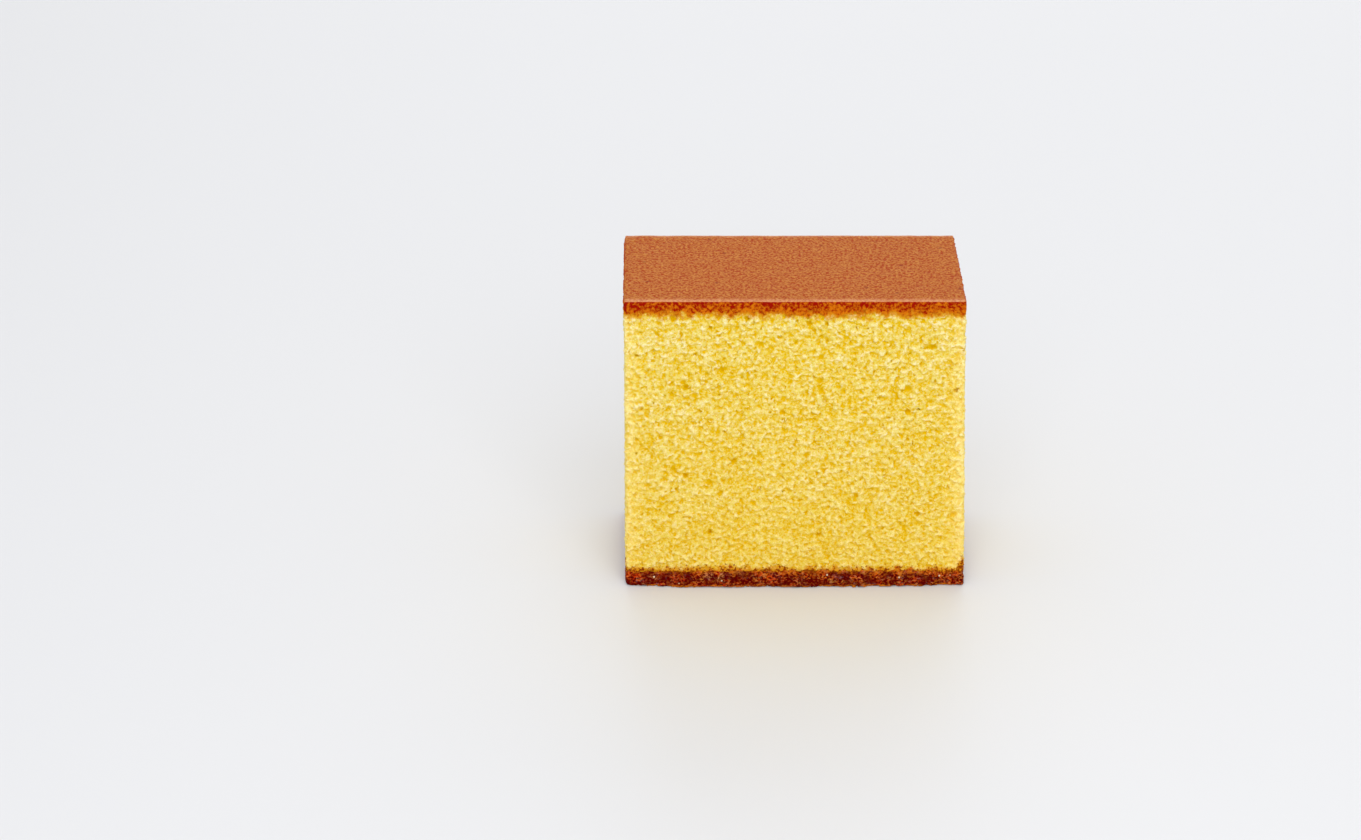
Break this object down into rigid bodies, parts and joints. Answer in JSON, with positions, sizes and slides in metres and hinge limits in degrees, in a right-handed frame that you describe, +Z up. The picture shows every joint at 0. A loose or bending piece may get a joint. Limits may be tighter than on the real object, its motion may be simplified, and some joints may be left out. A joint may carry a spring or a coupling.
{
  "type": "castella sponge cake slice",
  "caption": "Upright slice of castella sponge cake: flat browned top skin, yellow open crumb on the four cut sides, dark moist lumpy crust at the foot.",
  "frame": {"origin": "middle of the foot, on the plane that the slice stands on", "axes": "+X across the loaf to the right seen from the front cut, +Y from the front cut to the back cut, +Z up through the browned top"},
  "size_m": [0.0588, 0.028, 0.0542],
  "materials": {
    "crumb": "open-pored yellow egg sponge, matte and slightly moist",
    "top_skin": "terracotta-brown baked skin, fine grained and matte with a faint sheen",
    "foot_crust": "dark mahogany caramelised crust, moist and glossy, lumpy"
  },
  "bodies": {
    "root": {"castella_slice": "crumb"}
  },
  "joints": []
}
